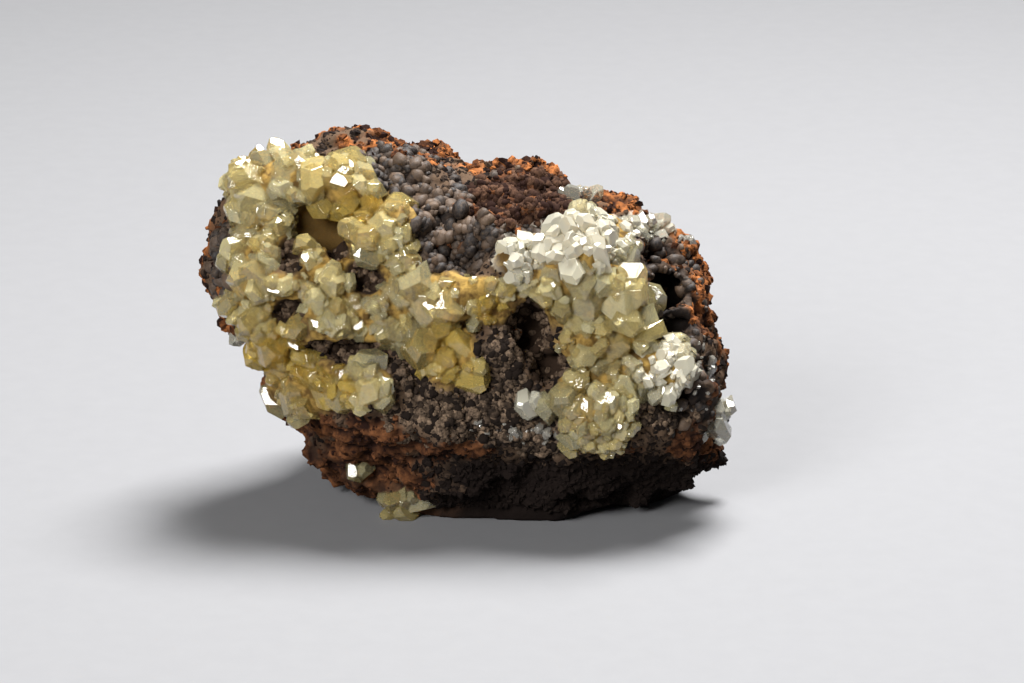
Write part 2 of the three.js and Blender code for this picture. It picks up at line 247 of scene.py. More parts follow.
# The crust's leading crystals: foot on the face, half-width, height, and lean to the right and up
LEADING_ROW = 5
LEADING_CRYSTALS = [
    ((-14.0, -1.6), 1.4, 2.2, (-0.3, -0.1)), ((-11.3, 10.6), 1.2, 2.4, (0.0, -0.4)),
    ((-9.4, 11.2), 1.0, 2.0, (0.2, 0.3)), ((-15.4, 3.4), 1.5, 2.2, (-0.5, 0.3)),
    ((-15.4, 0.4), 1.3, 2.2, (-0.6, -0.2)), ((-7.6, 5.6), 1.0, 2.6, (0.3, 0.5)),
    ((-10.2, 3.0), 0.9, 2.5, (0.1, 0.3)), ((-15.6, 9.2), 1.5, 2.0, (-0.4, 0.1)),
    ((8.2, 1.4), 1.5, 2.3, (0.4, 0.3)), ((11.2, 0.2), 1.4, 2.2, (0.5, -0.2)),
]

# Small clusters that stand apart: middle, half-widths, size and how far round the lump they are
SIDE_TURN = math.radians(-105)
SMALL_CLUSTERS = {
    "stray_crystal": ((4.4, -5.9), (0.7, 0.7), 1.0, 0.0),
    "edge_crystals": ((18.4, -6.4), (1.1, 1.9), 0.9, 0.0),
    "base_crystals_left": ((-8.2, -10.8), (0.9, 0.8), 0.8, 0.0),
    "base_crystals_middle": ((-4.6, -12.9), (1.3, 0.9), 0.75, 0.0),
    "top_crystals": ((8.2, 9.5), (0.9, 0.7), 0.6, 0.0),
    "rim_crystals": ((12.8, 7.4), (1.8, 0.9), 0.7, 0.0),
    "side_crystals": ((2.6, -1.0), (1.0, 1.3), 0.85, SIDE_TURN),
}
PALE_CLUSTERS = ("edge_crystals", "top_crystals", "rim_crystals", "side_crystals")


# Small mathematics

def in_range(limits, share):
    low, high = limits
    return low + (high - low) * share


def smooth_step(values, low, high):
    share = np.clip((values - low) / (high - low), 0, 1)
    return share * share * (3 - 2 * share)


def hashed(i, j, k):
    """A fixed number from 0 to 1 for three whole numbers, the same as in the part's source."""
    mask = 0xFFFFFFFF
    n = (i * 374761393 + j * 668265263 + k * 1442695041) & mask
    n = ((n ^ (n >> 13)) * 1274126177) & mask
    return (n ^ (n >> 16)) / 2**32


def patch_share(patch, x, y):
    (middle_x, middle_y), (half_x, half_y) = patch
    return np.hypot((x - middle_x) / half_x, (y - middle_y) / half_y)


def sampled(function, points, size):
    return np.array([function(Vector(point) / size) for point in points])


def cloudy(point):
    return noise.fractal(point, 1.0, 2.0, 4)


def crumbly(point):
    return noise.turbulence(point, 4, True)


def cell_distance(point):
    return noise.voronoi(point)[0][0]


# Meshes

def keep_inside(mesh):
    """Moves points that would stand out of the part's own box back onto it."""
    places = np.empty(3 * len(mesh.vertices))
    mesh.vertices.foreach_get("co", places)
    places = np.clip(places.reshape(-1, 3), *cad_box)
    mesh.vertices.foreach_set("co", places.ravel())


def new_piece(name, points, faces, smooth=False):
    """A piece from points in the face's frame, in millimetres."""
    mesh = bpy.data.meshes.new(name)
    mesh.from_pydata(points, [], faces)
    mesh.transform(FACE)
    keep_inside(mesh)
    if smooth:
        mesh.shade_smooth()
    else:
        mesh.shade_flat()
    mesh.update()
    piece = bpy.data.objects.new(name, mesh)
    bpy.context.scene.collection.objects.link(piece)
    return piece


def store(piece, name, values, domain="POINT"):
    """Keeps one number or one vector for each point, face or corner of the piece, for its material."""
    values = np.asarray(values, np.float32)
    kind, field = ("FLOAT", "value") if values.ndim == 1 else ("FLOAT_VECTOR", "vector")
    attribute = piece.data.attributes.new(name, kind, domain)
    attribute.data.foreach_set(field, values.ravel())


def dress(piece, look, slot, *nodes):
    """Gives a piece its material and its body, and hides the solids that it stands for."""
    piece.data.materials.clear()
    piece.data.materials.append(look)
    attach(piece, "root")
    if nodes:
        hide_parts(*nodes)


class Gathered:
    """Many small forms put together as one mesh."""

    def __init__(self):
        self.points = []
        self.faces = []
        self.grain = []
        self.values = {}
        self.count = 0

    def add(self, form, turn, place, size=1.0, **values):
        points, faces = form
        self.points.append(points @ (turn * size).T + place)
        self.faces += [[corner + self.count for corner in face] for face in faces]
        self.count += len(points)
        self.grain.append(points * size)
        for name, value in values.items():
            self.values.setdefault(name, []).append(np.full(len(points), value))

    def piece(self, name, smooth=False):
        piece = new_piece(name, np.concatenate(self.points), self.faces, smooth)
        store(piece, "grain", np.concatenate(self.grain))
        for value, parts in self.values.items():
            store(piece, value, np.concatenate(parts))
        return piece


class Intergrown:
    """Crystals that grow through each other, put together as one skin."""

    def __init__(self):
        self.crystals = []

    def add(self, form, turn, place, size=1.0, **values):
        points, faces = form
        crystal = new_piece("crystal", points @ (turn * size).T + place, faces)
        corners = np.concatenate([points[face] for face in faces]) * size
        store(crystal, "grain", corners, "CORNER")
        for name, value in values.items():
            store(crystal, name, np.full(len(faces), value), "FACE")
        self.crystals.append(crystal)

    def piece(self, name):
        first, *others = self.crystals
        group = bpy.data.collections.new(name)
        for crystal in others:
            group.objects.link(crystal)
        union = first.modifiers.new("union", "BOOLEAN")
        union.operation = "UNION"
        union.solver = "MANIFOLD"
        union.operand_type = "COLLECTION"
        union.collection = group
        grown = first.evaluated_get(bpy.context.evaluated_depsgraph_get())
        piece = bpy.data.objects.new(name, bpy.data.meshes.new_from_object(grown))
        bpy.context.scene.collection.objects.link(piece)
        bpy.data.collections.remove(group)
        for crystal in self.crystals:
            bpy.data.meshes.remove(crystal.data)
        return piece


def form_of(made):
    """The points and faces of a finished bmesh."""
    made.verts.ensure_lookup_table()
    points = np.array([vert.co for vert in made.verts])
    faces = [[vert.index for vert in face.verts] for face in made.faces]
    made.free()
    return points, faces


# Rock

Ground = namedtuple("Ground", "points normals zones height tree")


def face_points(node):
    """A solid's points in the face's frame, and its polygons."""
    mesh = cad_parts[node].data
    into_face = FACE.inverted()
    points = [into_face @ vertex.co for vertex in mesh.vertices]
    return points, [tuple(polygon.vertices) for polygon in mesh.polygons]


def remeshed(node):
    """The solid's own shape as an even, fine mesh: points, faces and outward directions."""
    points, polygons = face_points(node)
    mesh = bpy.data.meshes.new("coarse_rock")
    mesh.from_pydata(points, [], polygons)
    coarse = bpy.data.objects.new("coarse_rock", mesh)
    bpy.context.scene.collection.objects.link(coarse)
    remesh = coarse.modifiers.new("even", "REMESH")
    remesh.mode = "VOXEL"
    remesh.voxel_size = ROCK_VOXEL
    fine = coarse.evaluated_get(bpy.context.evaluated_depsgraph_get()).to_mesh()
    points = np.array([vertex.co for vertex in fine.vertices])
    normals = np.array([vertex.normal for vertex in fine.vertices])
    faces = [tuple(polygon.vertices) for polygon in fine.polygons]
    bpy.data.objects.remove(coarse)
    return points, normals, faces


def widened(patches, margin):
    return [(middle, (half_x + margin, half_y + margin)) for middle, (half_x, half_y) in patches]


def patch_mask(points, patches, ragged):
    """How far points lie inside the nearest patch, from 0 to 1, with a ragged edge."""
    shares = [patch_share(patch, points[:, 0], points[:, 1]) for patch in patches]
    return 1 - smooth_step(np.min(shares, axis=0) + ragged, *PATCH_EDGE)


def rock_zones(points, normals):
    """What each point of the rock is made of, and where shade is painted on it, as shares from 0 to 1."""
    x, y, depth = points.T
    ragged = RAGGEDNESS * sampled(cloudy, points, RAGGED_SIZE)
    front = smooth_step(depth, *FRONT_DEPTH) * smooth_step(normals[:, 2] + 0.4 * ragged, *FRONT_FACING)
    brown = patch_mask(points, BROWN_PATCHES, 0.6 * ragged)
    rust = np.maximum(patch_mask(points, RUST_PATCHES, 1.2 * ragged), brown) * smooth_step(depth, *RUST_DEPTH)
    worn = smooth_step(sampled(cloudy, points, WORN_SIZE), *WORN_SHARE) * smooth_step(-depth, *WORN_DEPTH)
    zones = {}
    zones["hollow"] = patch_mask(points, BARE_SPOTS, 0.6 * ragged) * front
    zones["recess"] = patch_mask(points, RECESSES, 0.3 * ragged) * front
    zones["crust"] = patch_mask(points, CRUST_PATCHES, 0.4 * ragged) * smooth_step(depth, *CRUST_DEPTH)
    zones["crust"] *= 1 - zones["hollow"]
    zones["brown"] = brown * front
    zones["goethite"] = patch_mask(points, GOETHITE_PATCHES, ragged) * front * (1 - brown)
    zones["grey"] = patch_mask(points, GREY_PATCHES, ragged) * front
    zones["rust"] = np.maximum(rust, 1 - front) * (1 - zones["crust"])
    zones["white"] = patch_mask(points, WHITE_PATCHES, ragged) * front
    # The underside's lower lip, painted in shade: near black on the rock and on its crumbs
    zones["shade"] = smooth_step(-y + ragged, *LIP_DROP) * smooth_step(x + 2 * ragged, *LIP_START)
    zones["plain"] = 1 - np.max(list(zones.values()), axis=0)
    zones["rim"] = smooth_step(y + 2 * ragged, *RIM_RISE) * (1 - worn) * (1 - brown)
    return zones


def knobbly(points, size):
    """Rounded knobs packed side by side, from -0.5 to 0.5."""
    return np.sqrt(np.clip(1 - (sampled(cell_distance, points, size) / KNOB_REACH) ** 2, 0, 1)) - 0.5


def bare_depth(points):
    """How deep the bare spots go: the wider, the deeper."""
    depths = np.zeros(len(points))
    for patch in BARE_SPOTS:
        share = patch_share(patch, points[:, 0], points[:, 1])
        depth = BARE_STEEPNESS * min(patch[1]) * (1 - smooth_step(share, *BARE_WALL))
        depths = np.maximum(depths, depth)
    return depths


def rock_relief(points, zones):
    """The height of the fine relief at each point."""
    layers = sampled(crumbly, points * LAYER_SHAPE, LAYER_SIZE) - 0.5
    fine = sampled(cloudy, points, FINE_RELIEF_SIZE)
    relief = zones["rust"] * RUST_HEIGHT * (layers + 0.35 * fine)
    relief += zones["goethite"] * GOETHITE_HEIGHT * (knobbly(points, LARGE_KNOB) + 0.2 * fine)
    knobs = knobbly(points, SMALL_KNOB) + 0.5 * knobbly(points, LARGE_KNOB)
    relief += zones["grey"] * GREY_HEIGHT * knobs
    rough = sampled(crumbly, points, ROUGH_SIZE) - 0.5
    relief += (ROUGH_HEIGHT * rough + FINE_HEIGHT * fine) * (1 - zones["crust"])
    relief += CRUST_SWELL * zones["crust"] * (1 - zones["recess"])
    relief -= bare_depth(points) * zones["hollow"] + RECESS_DEPTH * zones["recess"]
    for (x, y), radius in PITS:
        share = np.hypot(points[:, 0] - x, points[:, 1] - y) / radius + 0.2 * fine
        relief -= PIT_DEPTH * radius * (1 - smooth_step(share, *PIT_WALL)) * (points[:, 2] > 0)
    return relief


def make_rock():
    """The lump with its fine surface and its zones, and the ground that everything else stands on."""
    points, normals, faces = remeshed("limonite_matrix")
    zones = rock_zones(points, normals)
    relief = rock_relief(points, zones)
    height = BASE_DEPTH - points @ np.array(DOWN)
    relief *= smooth_step(height, *BASE_FADE)
    points = points + normals * relief[:, None]
    sunk = np.maximum(points @ np.array(DOWN) - BASE_DEPTH, 0)
    points -= sunk[:, None] * np.array(DOWN)
    rock = new_piece("limonite_rock", points, faces, smooth=True)
    for name, values in zones.items():
        store(rock, name, values)
    store(rock, "relief", relief)
    dress(rock, rock_look(), "limonite", "limonite_matrix")
    tree = BVHTree.FromPolygons(*face_points("limonite_matrix"))
    return Ground(points, normals, zones, height, tree)


# Crystals

def convex_form(normals, distances, wear):
    """The solid inside all the planes, its edges worn a little: points and faces."""
    triples = np.array(list(itertools.combinations(range(len(normals)), 3)))
    firm = np.abs(np.linalg.det(normals[triples])) > 1e-5
    triples = triples[firm]
    corners = np.linalg.solve(normals[triples], distances[triples][..., None])[..., 0]
    corners = corners[(corners @ normals.T <= distances + 1e-6).all(axis=1)]
    made = bmesh.new()
    for corner in corners:
        made.verts.new(corner)
    bmesh.ops.remove_doubles(made, verts=made.verts[:], dist=1e-3)
    bmesh.ops.convex_hull(made, input=made.verts[:])
    bmesh.ops.dissolve_limit(made, angle_limit=0.02, verts=made.verts[:], edges=made.edges[:])
    bmesh.ops.bevel(made, geom=made.edges[:], offset=wear, segments=1, affect="EDGES", clamp_overlap=True)
    bmesh.ops.recalc_face_normals(made, faces=made.faces[:])
    return form_of(made)


def crystal_planes(half_width, stand_out, root_depth, random):
    """A blocky prism with a roof-shaped end along +Z, its corners cut by a few small faces."""
    planes = []

    def cut(x, y, z, distance):
        planes.append((*Vector((x, y, z)).normalized(), distance))

    for k, angle in enumerate((PRISM_ANGLE, math.pi - PRISM_ANGLE, math.pi + PRISM_ANGLE, -PRISM_ANGLE)):
        flat = in_range(FLATNESS, random(61)) if k % 2 else 1.0
        cut(math.cos(angle), math.sin(angle), 0, half_width * flat * in_range(SIDE_SHARE, random(10 + k)))
    for k, side in enumerate((1, -1)):
        roof = stand_out + half_width * in_range(ROOF_RISE, random(20 + k))
        cut(side * math.sin(DOME_ANGLE), 0, math.cos(DOME_ANGLE), math.cos(DOME_ANGLE) * roof)
        end = stand_out + half_width * in_range(END_RISE, random(30 + k))
        cut(0, side * math.sin(END_DOME_ANGLE), math.cos(END_DOME_ANGLE), math.cos(END_DOME_ANGLE) * end)
        cut(side, 0, CORNER_SLOPE, half_width * in_range(CORNER_REACH, random(40 + k)))
        tip = stand_out * in_range(TIP_SHARE, random(52 + k))
        cut(TIP_SLOPE * side, random(50 + k) - 0.5, 1, tip)
    cut(0, 0, -1, root_depth)
    planes = np.array(planes)
    return planes[:, :3], planes[:, 3]


def turn_to(axis, twist):
    """The turn that carries +Z to an axis, after a twist about +Z."""
    return Vector((0, 0, 1)).rotation_difference(axis) @ Quaternion((0, 0, 1), twist)


def footing(tree, x, y, turn):
    """Where a line into the lump meets its rock, and the rock's direction there."""
    about = Matrix.Rotation(turn, 3, "Y")
    point, normal, _, _ = tree.ray_cast(about @ Vector((x, y, SIGHT_DISTANCE)), about @ Vector((0, 0, -1)))
    return point, normal


def roots(patches, bare, origin, spacing):
    """The jittered triangular grid of crystal roots that patches cover."""
    row_height = spacing * math.sqrt(3) / 2
    reach = math.ceil(GRID_REACH / row_height)
    for j, i in itertools.product(range(-reach, reach + 1), repeat=2):
        x = origin[0] + spacing * (i + 0.5 * (j & 1) + ROOT_JITTER * (hashed(i, j, 7) - 0.5))
        y = origin[1] + row_height * (j + ROOT_JITTER * (hashed(i, j, 8) - 0.5))
        covered = any(patch_share(patch, x, y) < 1 for patch in patches)
        if covered and not any(patch_share(spot, x, y) < 1 for spot in bare):
            yield i, j, x, y


def whiteness(x, y):
    share = min(patch_share(patch, x, y) for patch in WHITE_PATCHES)
    return float(1 - smooth_step(share, *WHITE_EDGE))


def fineness(x, y):
    """How much smaller crystals are here than elsewhere in the crust."""
    share = min(patch_share(patch, x, y) for patch in FINE_PATCHES)
    near_bare = min(patch_share(patch, x, y) for patch in BARE_SPOTS)
    fine = in_range((FINE_SIZE, 1.0), float(smooth_step(share, *FINE_EDGE)))
    return fine * in_range((FINE_SIZE, 1.0), float(smooth_step(near_bare, *BARE_EDGE)))


def honey(x, y):
    share = min(patch_share(patch, x, y) for patch in AMBER_PATCHES)
    return float(1 - smooth_step(share, *HONEY_EDGE))


def crystal_values(place):
    """What the material needs to know of a crystal's place."""
    return {"frost": whiteness(place[0], place[1]), "honey": honey(place[0], place[1])}


def add_crystal(pick, place, quaternion, half_width, stand_out, random):
    """One crystal at its root, cut off where it would reach below the base."""
    normals, distances = crystal_planes(half_width, stand_out, ROOT_DEPTH, random)
    normals = np.vstack([normals, quaternion.inverted() @ DOWN])
    distances = np.append(distances, BASE_DEPTH - DOWN.dot(place) - FLOOR_GAP)
    form = convex_form(normals, distances, EDGE_WEAR)
    turn = np.array(quaternion.to_matrix())
    pick(place).add(form, turn, np.array(place), tone=random(9), **crystal_values(place))


def add_large_crystals(pick, tree, patches, spacing, bare=(), origin=(0, 0), size=1.0, turn=0.0):
    """Crystals on the same roots as in the solids, each with smaller ones grown beside it."""
    for i, j, x, y in roots(patches, bare, origin, spacing):
        point, normal = footing(tree, x, y, turn)
        if point is None:
            continue

        def random(k):
            return hashed(i, j, k)

        own_size = size * fineness(x, y)
        half_width = own_size * in_range(HALF_WIDTH, random(1)) * in_range(SLIMNESS, random(60))
        stand_out = own_size * in_range(STAND_OUT, random(2))
        lean = Vector((random(3) - 0.5, random(4) - 0.5, random(5) - 0.5))
        quaternion = turn_to((normal + 2 * TILT * lean).normalized(), math.pi * random(6))
        add_crystal(pick, point, quaternion, half_width, stand_out, random)
        for n in range(1, COMPANIONS + 1):
            def other(k):
                return hashed(i, j, k + 100 * n)

            share = in_range(COMPANION_SIZE, other(1))
            angle = 2 * math.pi * other(2)
            aside = Vector((math.cos(angle), math.sin(angle), 0))
            step = half_width * (aside + Vector((0, 0, COMPANION_DRIFT * (other(3) - 0.5))))
            beside = quaternion @ Quaternion(aside, COMPANION_TURN * (other(4) - 0.5))
            height = in_range(COMPANION_HEIGHT, other(5)) * stand_out
            add_crystal(pick, point + quaternion @ step, beside, share * half_width, height, other)


def add_leading_crystals(pick, tree):
    for n, ((x, y), half_width, stand_out, (lean_x, lean_y)) in enumerate(LEADING_CRYSTALS):
        point, _ = footing(tree, x, y, 0.0)
        quaternion = turn_to(Vector((lean_x, lean_y, 1)).normalized(), math.pi * hashed(n, LEADING_ROW, 6))
        add_crystal(pick, point, quaternion, half_width, stand_out, lambda k: hashed(n, LEADING_ROW, k))


def small_forms():
    """A few crystal forms of half-width 1, to be repeated at small sizes."""
    forms = []
    for i in range(SMALL_FORMS):
        def random(k):
            return hashed(i, SMALL_FORM_ROW, k)

        stand_out = in_range(SMALL_STAND_OUT, random(2))
        normals, distances = crystal_planes(1.0, stand_out, SMALL_ROOT_DEPTH, random)
        forms.append(convex_form(normals, distances, EDGE_WEAR))
    return forms


def scattered(pick, forms, spots, normals, sizes, tilt, generator, values):
    """Forms set upright on spots of the rock, each with its own size, lean and tone."""
    for spot, normal in zip(spots, normals):
        axis = Vector(normal) + tilt * Vector(generator.uniform(-1, 1, 3))
        quaternion = turn_to(axis.normalized(), generator.uniform(0, 2 * math.pi))
        size = in_range(sizes, generator.random() ** 2)
        form = forms[generator.integers(len(forms))]
        place = spot - np.array(normal) * GRAIN_SINK * size
        turn = np.array(quaternion.to_matrix())
        pick(Vector(spot)).add(form, turn, place, size, tone=generator.random(), **values(spot))


def chosen(weights, count, generator):
    """Places on the rock picked by weight."""
    return generator.choice(len(weights), size=count, replace=False, p=weights / weights.sum())


# Grains of the rock

def nodule_forms():
    """Rounded, slightly uneven knobs of radius 1."""
    forms = []
    for i in range(GRAIN_FORMS):
        made = bmesh.new()
        bmesh.ops.create_icosphere(made, subdivisions=2, radius=1.0)
        for vert in made.verts:
            vert.co *= 1 + KNOB_UNEVENNESS * noise.noise(vert.co * 1.1 + Vector((3.1 * i, 0, 0)))
            vert.co.x *= in_range(KNOB_STRETCH, hashed(i, 3, 1))
        made.verts.index_update()
        forms.append(form_of(made))
    return forms


def crumb_forms():
    """Broken angular crumbs of radius about 1."""
    generator = np.random.default_rng(CRUMB_SEED)
    forms = []
    for _ in range(GRAIN_FORMS):
        made = bmesh.new()
        for point in generator.normal(size=(CRUMB_CORNERS, 3)):
            made.verts.new(point / np.linalg.norm(point) * generator.uniform(*CRUMB_REACH))
        bmesh.ops.convex_hull(made, input=made.verts[:])
        bmesh.ops.delete(made, geom=[vert for vert in made.verts if not vert.link_faces], context="VERTS")
        made.verts.index_update()
        forms.append(form_of(made))
    return forms


# Materials

class Look:
    """A material under construction. A socket given as a value is linked."""

    def __init__(self, name):
        self.material = bpy.data.materials.new(name)
        self.material.use_nodes = True
        self.tree = self.material.node_tree
        self.shader = self.tree.nodes["Principled BSDF"]
        self.output = self.tree.nodes["Material Output"]

    def fill(self, node, inputs):
        for name, value in inputs.items():
            if isinstance(value, bpy.types.NodeSocket):
                self.tree.links.new(value, node.inputs[name])
            else:
                node.inputs[name].default_value = value
        return node

    def add(self, kind, inputs=None, **settings):
        node = self.tree.nodes.new(kind)
        for name, value in settings.items():
            setattr(node, name, value)
        return self.fill(node, inputs or {})

    def attribute(self, name, output="Fac"):
        return self.add("ShaderNodeAttribute", attribute_name=name).outputs[output]

    def place(self):
        return self.add("ShaderNodeTexCoord").outputs["Object"]

    def noise(self, vector, size, detail=4.0, roughness=0.6):
        """Cloudy values from 0 to 1, of one size in the vector's units."""
        inputs = {"Vector": vector, "Scale": 1 / size, "Detail": detail, "Roughness": roughness}
        return self.add("ShaderNodeTexNoise", inputs).outputs["Fac"]

    def stretched(self, vector, scale):
        return self.add("ShaderNodeMapping", {"Vector": vector, "Scale": scale}).outputs["Vector"]

    def spread(self, value, low, high, to_low=0.0, to_high=1.0):
        inputs = {"Value": value, "From Min": low, "From Max": high, "To Min": to_low, "To Max": to_high}
        return self.add("ShaderNodeMapRange", inputs).outputs["Result"]

    def calculate(self, operation, first, second):
        return self.add("ShaderNodeMath", {0: first, 1: second}, operation=operation).outputs[0]

    def mix(self, share, first, second):
        node = self.add("ShaderNodeMix", {0: share}, data_type="RGBA")
        return self.fill(node, {6: first, 7: second}).outputs[2]

    def bump(self, height, distance, strength=1.0):
        inputs = {"Height": height, "Distance": distance, "Strength": strength}
        return self.add("ShaderNodeBump", inputs).outputs["Normal"]

    def surface(self, **inputs):
        self.fill(self.shader, {name.replace("_", " "): value for name, value in inputs.items()})

    def absorb(self, colour, density):
        volume = self.add("ShaderNodeVolumeAbsorption", {"Color": colour, "Density": density})
        self.tree.links.new(volume.outputs["Volume"], self.output.inputs["Volume"])


def colour(red, green, blue):
    return (red, green, blue, 1.0)


RUST_BRIGHT = colour(0.46, 0.16, 0.045)
RUST_BROWN = colour(0.20, 0.078, 0.030)
RUST_DARK = colour(0.015, 0.006, 0.004)
GOETHITE_BROWN = colour(0.085, 0.054, 0.034)
GOETHITE_BLACK = colour(0.010, 0.007, 0.006)
GREY_LIGHT = colour(0.26, 0.180, 0.120)
GREY_DARK = colour(0.012, 0.008, 0.006)
HOLLOW_BROWN = colour(0.022, 0.013, 0.008)
AMBER_GROUND = colour(0.30, 0.19, 0.05)
AMBER_DARK = colour(0.085, 0.048, 0.014)
# The amber ground darkened: painted shade in the recess under the arch
RECESS_PAINTED_SHADE = colour(0.075, 0.043, 0.012)
WHITE_CRUST = colour(0.50, 0.47, 0.40)
# Near black: painted shade of the underside lip
UNDERSIDE_PAINTED_SHADE = colour(0.008, 0.005, 0.004)
MASS_BROWN = colour(0.13, 0.068, 0.040)
DULL = 0.1
KNOB_SHINE = 0.3


def rock_look():
    look = Look("limonite")
    place = look.place()
    broad = look.noise(place, size=3.0 * MM)
    fine = look.noise(place, size=0.5 * MM, detail=6.0, roughness=0.7)
    mottled = look.spread(look.calculate("ADD", broad, fine), 0.75, 1.25)
    # The share below is high on raised points. Through it, low relief darkens towards RUST_DARK and
    # GOETHITE_BLACK: painted shade in crevices and pits.
    out_of_crevice_shade = look.spread(look.attribute("relief"), -0.25, 0.12)
    rust = look.mix(look.attribute("rim"), RUST_BROWN, RUST_BRIGHT)
    rust = look.mix(mottled, RUST_DARK, rust)
    rust = look.mix(out_of_crevice_shade, RUST_DARK, rust)
    goethite = look.mix(mottled, GOETHITE_BLACK, GOETHITE_BROWN)
    goethite = look.mix(out_of_crevice_shade, GOETHITE_BLACK, goethite)
    grey = look.mix(mottled, GREY_DARK, GREY_LIGHT)
    tint = look.mix(look.attribute("grey"), GOETHITE_BROWN, grey)
    tint = look.mix(look.attribute("goethite"), tint, goethite)
    tint = look.mix(look.attribute("rust"), tint, rust)
    tint = look.mix(look.spread(look.attribute("white"), 0.4, 1.0, to_high=0.7), tint, WHITE_CRUST)
    # The underside lip is painted near black: painted shade
    tint = look.mix(look.attribute("shade"), tint, UNDERSIDE_PAINTED_SHADE)
    amber = look.mix(look.spread(look.noise(place, size=0.9 * MM), 0.4, 0.6), AMBER_DARK, AMBER_GROUND)
    tint = look.mix(look.attribute("crust"), tint, amber)
    # The recess under the arch darkens to a deep amber: painted shade
    tint = look.mix(look.attribute("recess"), tint, RECESS_PAINTED_SHADE)
    tint = look.mix(look.attribute("hollow"), tint, HOLLOW_BROWN)
    sheen = look.spread(look.attribute("goethite"), 0.0, 1.0, to_low=0.95, to_high=0.6)
    rough = look.bump(fine, distance=0.12 * MM)
    look.surface(Base_Color=tint, Roughness=sheen, Specular_IOR_Level=DULL, Normal=rough)
    return look.material


def nodule_look():
    look = Look("goethite_knobs")
    fine = look.noise(look.place(), size=0.25 * MM, detail=5.0, roughness=0.7)
    tint = look.mix(look.spread(look.attribute("tone"), 0.3, 1.0), GOETHITE_BLACK, GOETHITE_BROWN)
    # Grey flecks on the knobs: partly grey dust, partly painted sheen
    tint = look.mix(look.spread(fine, 0.45, 0.8, to_high=0.3), tint, GREY_LIGHT)
    sheen = look.spread(fine, 0.3, 0.7, to_low=0.45, to_high=0.75)
    rough = look.bump(fine, distance=0.06 * MM)
    look.surface(Base_Color=tint, Roughness=sheen, Specular_IOR_Level=KNOB_SHINE, Normal=rough)
    return look.material


def crumb_look(name, dark, bright):
    look = Look(name)
    fine = look.noise(look.place(), size=0.3 * MM, detail=5.0, roughness=0.7)
    tint = look.mix(look.spread(look.attribute("tone"), 0.25, 0.85), dark, bright)
    tint = look.mix(look.spread(fine, 0.35, 0.7), dark, tint)
    rough = look.bump(fine, distance=0.06 * MM)
    look.surface(Base_Color=tint, Roughness=0.95, Specular_IOR_Level=DULL, Normal=rough)
    return look.material


HONEY_DEEP = colour(0.90, 0.65, 0.15)
HONEY_PALE = colour(0.97, 0.88, 0.50)
FROSTED = colour(0.91, 0.87, 0.70)
HONEY_DEPTH = colour(0.98, 0.88, 0.25)
PALE_DEPTH = colour(0.98, 0.94, 0.70)
GREY_DEPTH = colour(0.95, 0.95, 0.85)
FROSTED_DEEP = colour(0.90, 0.80, 0.48)
BRIGHT_DEEP = colour(0.94, 0.86, 0.62)
PALE_DEEP = colour(0.80, 0.80, 0.70)
SMOKY_DEEP = colour(0.30, 0.27, 0.23)
SMOKY_PALE = colour(0.62, 0.58, 0.50)
ADAMITE_IOR = 1.72
STRONG_DENSITY = 60.0
WEAK_DENSITY = 40.0
ADAMITE_CLEARNESS = 0.84
CLOUDY_CLEARNESS = 0.74
FROSTED_CLEARNESS = 0.64
BRIGHT_CLEARNESS = 0.7
PALE_CLEARNESS = 0.8
SMOKY_CLEARNESS = 0.7


def crystal_look(name, deep, pale, absorbed, density, clear):
    """A vitreous crystal: see-through, with cloudy veils, fine stripes and its own depth of colour."""
    look = Look(name)
    grain = look.attribute("grain", "Vector")
    tone = look.attribute("tone")
    frost = look.attribute("frost")
    veils = look.noise(grain, size=0.9, detail=5.0, roughness=0.65)
    stripes = look.noise(look.stretched(grain, (7.0, 7.0, 0.6)), size=1.0, detail=3.0)
    depth = look.spread(look.calculate("ADD", tone, look.attribute("honey")), 0.2, 1.5)
    tint = look.mix(depth, pale, deep)
    tint = look.mix(look.spread(veils, 0.5, 0.75, to_high=0.6), tint, pale)
    tint = look.mix(frost, tint, FROSTED)
    veiled = look.spread(veils, 0.4, 0.8, to_low=0.02, to_high=0.10)
    rough = look.calculate("ADD", veiled, look.spread(frost, 0.0, 1.0, to_high=0.15))
    look.surface(
        Base_Color=tint, Roughness=rough, IOR=ADAMITE_IOR, Transmission_Weight=clear,
        Normal=look.bump(stripes, distance=0.02 * MM, strength=0.6),
    )
    look.absorb(absorbed, density)
    return look.material


def adamite_look(name, clear):
    return crystal_look(name, HONEY_DEEP, HONEY_PALE, HONEY_DEPTH, STRONG_DENSITY, clear)


def frosted_look():
    return crystal_look("frosted_crystal", FROSTED_DEEP, FROSTED, PALE_DEPTH, WEAK_DENSITY, FROSTED_CLEARNESS)


def bright_look():
    return crystal_look("bright_adamite", BRIGHT_DEEP, FROSTED, PALE_DEPTH, WEAK_DENSITY, BRIGHT_CLEARNESS)


def pale_look():
    return crystal_look("pale_crystal", PALE_DEEP, FROSTED, GREY_DEPTH, STRONG_DENSITY, PALE_CLEARNESS)


def smoky_look():
    return crystal_look("smoky_crystal", SMOKY_DEEP, SMOKY_PALE, GREY_DEPTH, STRONG_DENSITY, SMOKY_CLEARNESS)


FLOOR_DARK = colour(0.17, 0.17, 0.175)
FLOOR_LIGHT = colour(0.185, 0.185, 0.19)


def floor_look():
    look = Look("plain_floor")
    fine = look.noise(look.place(), size=2.0 * MM)
    tint = look.mix(fine, FLOOR_DARK, FLOOR_LIGHT)
    look.surface(Base_Color=tint, Roughness=0.8)
    return look.material


# The specimen

def scatter_on(ground, pick, forms, weights, count, sizes, tilt, generator, values):
    """Forms on points of the rock picked by weight, clear of the base."""
    spots = chosen(weights * (ground.height > LOWEST_GRAIN), count, generator)
    scattered(pick, forms, ground.points[spots], ground.normals[spots], sizes, tilt, generator, values)


